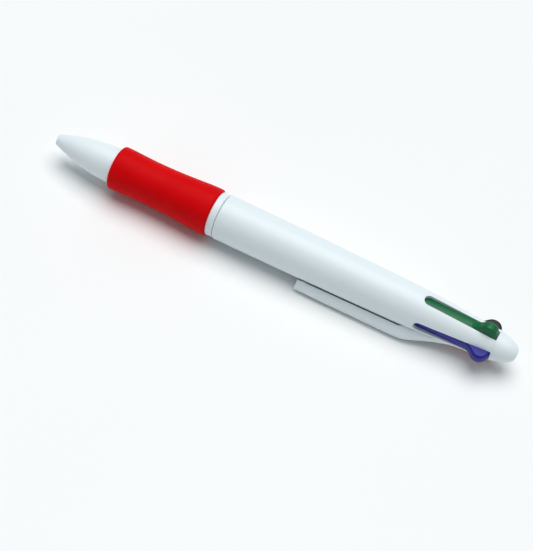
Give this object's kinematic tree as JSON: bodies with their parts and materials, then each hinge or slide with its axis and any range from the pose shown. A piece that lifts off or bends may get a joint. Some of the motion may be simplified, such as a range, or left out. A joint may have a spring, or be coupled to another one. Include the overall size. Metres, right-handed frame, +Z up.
{
  "type": "click pen",
  "caption": "Ballpoint pen with sliding thumb knobs that push coloured refills out of the nose, a rubber grip, a pocket clip and a domed end cap.",
  "frame": {"origin": "middle of the pen's box, at the height of the surface it lies on", "axes": "+X from the writing end to the knob end, +Z up with the green slider on top and the clip below on the -Y side"},
  "size_m": [0.145, 0.015, 0.015],
  "materials": {
    "white_plastic": "smooth moulded, softly glossy",
    "inner_plastic": "plain moulded",
    "grip_rubber": "smooth satin",
    "green_plastic": "glossy",
    "blue_plastic": "glossy",
    "red_plastic": "glossy",
    "black_plastic": "glossy",
    "spring_steel": "bright drawn wire",
    "tube_plastic": "translucent",
    "green_ink": "wet ink",
    "blue_ink": "wet ink",
    "red_ink": "wet ink",
    "black_ink": "wet ink",
    "tip_metal": "turned",
    "ball_metal": "polished"
  },
  "bodies": {
    "barrel": {"upper_barrel": "white_plastic", "pocket_clip": "white_plastic", "end_cap": "white_plastic", "guide_core": "inner_plastic", "spring_seat": "inner_plastic", "front_barrel": "white_plastic", "grip": "grip_rubber", "spring_green": "spring_steel", "spring_blue": "spring_steel", "spring_red": "spring_steel", "spring_black": "spring_steel"},
    "slider_green": {"slider_green": "green_plastic"},
    "refill_green": {"refill_tube_green": "tube_plastic", "ink_green": "green_ink", "writing_tip_green": "tip_metal", "ball_green": "ball_metal"},
    "slider_blue": {"slider_blue": "blue_plastic"},
    "refill_blue": {"refill_tube_blue": "tube_plastic", "ink_blue": "blue_ink", "writing_tip_blue": "tip_metal", "ball_blue": "ball_metal"},
    "slider_red": {"slider_red": "red_plastic"},
    "refill_red": {"refill_tube_red": "tube_plastic", "ink_red": "red_ink", "writing_tip_red": "tip_metal", "ball_red": "ball_metal"},
    "slider_black": {"slider_black": "black_plastic"},
    "refill_black": {"refill_tube_black": "tube_plastic", "ink_black": "black_ink", "writing_tip_black": "tip_metal", "ball_black": "ball_metal"}
  },
  "joints": [
    {"name": "slide_green", "type": "slide", "parent": "barrel", "child": "slider_green", "axis": [-1, 0, 0], "range_m": [0, 0.015], "stiffness_N_per_m": 80, "springref_m": -0.005, "deforming": ["spring_green"]},
    {"name": "lean_green", "type": "hinge", "parent": "slider_green", "child": "refill_green", "pos_m": [0.029, 0, 0.01008], "axis": [0, -1, 0], "range_deg": [0, 1.2], "deforming": ["refill_tube_green", "ink_green"]},
    {"name": "slide_blue", "type": "slide", "parent": "barrel", "child": "slider_blue", "axis": [-1, 0, 0], "range_m": [0, 0.015], "stiffness_N_per_m": 80, "springref_m": -0.005, "deforming": ["spring_blue"]},
    {"name": "lean_blue", "type": "hinge", "parent": "slider_blue", "child": "refill_blue", "pos_m": [0.029, -0.0024, 0.00768], "axis": [0, 0, -1], "range_deg": [0, 1.2], "deforming": ["refill_tube_blue", "ink_blue"]},
    {"name": "slide_red", "type": "slide", "parent": "barrel", "child": "slider_red", "axis": [-1, 0, 0], "range_m": [0, 0.015], "stiffness_N_per_m": 80, "springref_m": -0.005, "deforming": ["spring_red"]},
    {"name": "lean_red", "type": "hinge", "parent": "slider_red", "child": "refill_red", "pos_m": [0.029, 0, 0.00528], "axis": [0, 1, 0], "range_deg": [0, 1.2], "deforming": ["refill_tube_red", "ink_red"]},
    {"name": "slide_black", "type": "slide", "parent": "barrel", "child": "slider_black", "axis": [-1, 0, 0], "range_m": [0, 0.015], "stiffness_N_per_m": 80, "springref_m": -0.005, "deforming": ["spring_black"]},
    {"name": "lean_black", "type": "hinge", "parent": "slider_black", "child": "refill_black", "pos_m": [0.029, 0.0024, 0.00768], "axis": [0, 0, 1], "range_deg": [0, 1.2], "deforming": ["refill_tube_black", "ink_black"]}
  ],
  "couplings": [
    {"joint": "lean_green", "follows": "slide_green", "rad_per_m": 1.3634},
    {"joint": "lean_blue", "follows": "slide_blue", "rad_per_m": 1.3634},
    {"joint": "lean_red", "follows": "slide_red", "rad_per_m": 1.3634},
    {"joint": "lean_black", "follows": "slide_black", "rad_per_m": 1.3634}
  ]
}
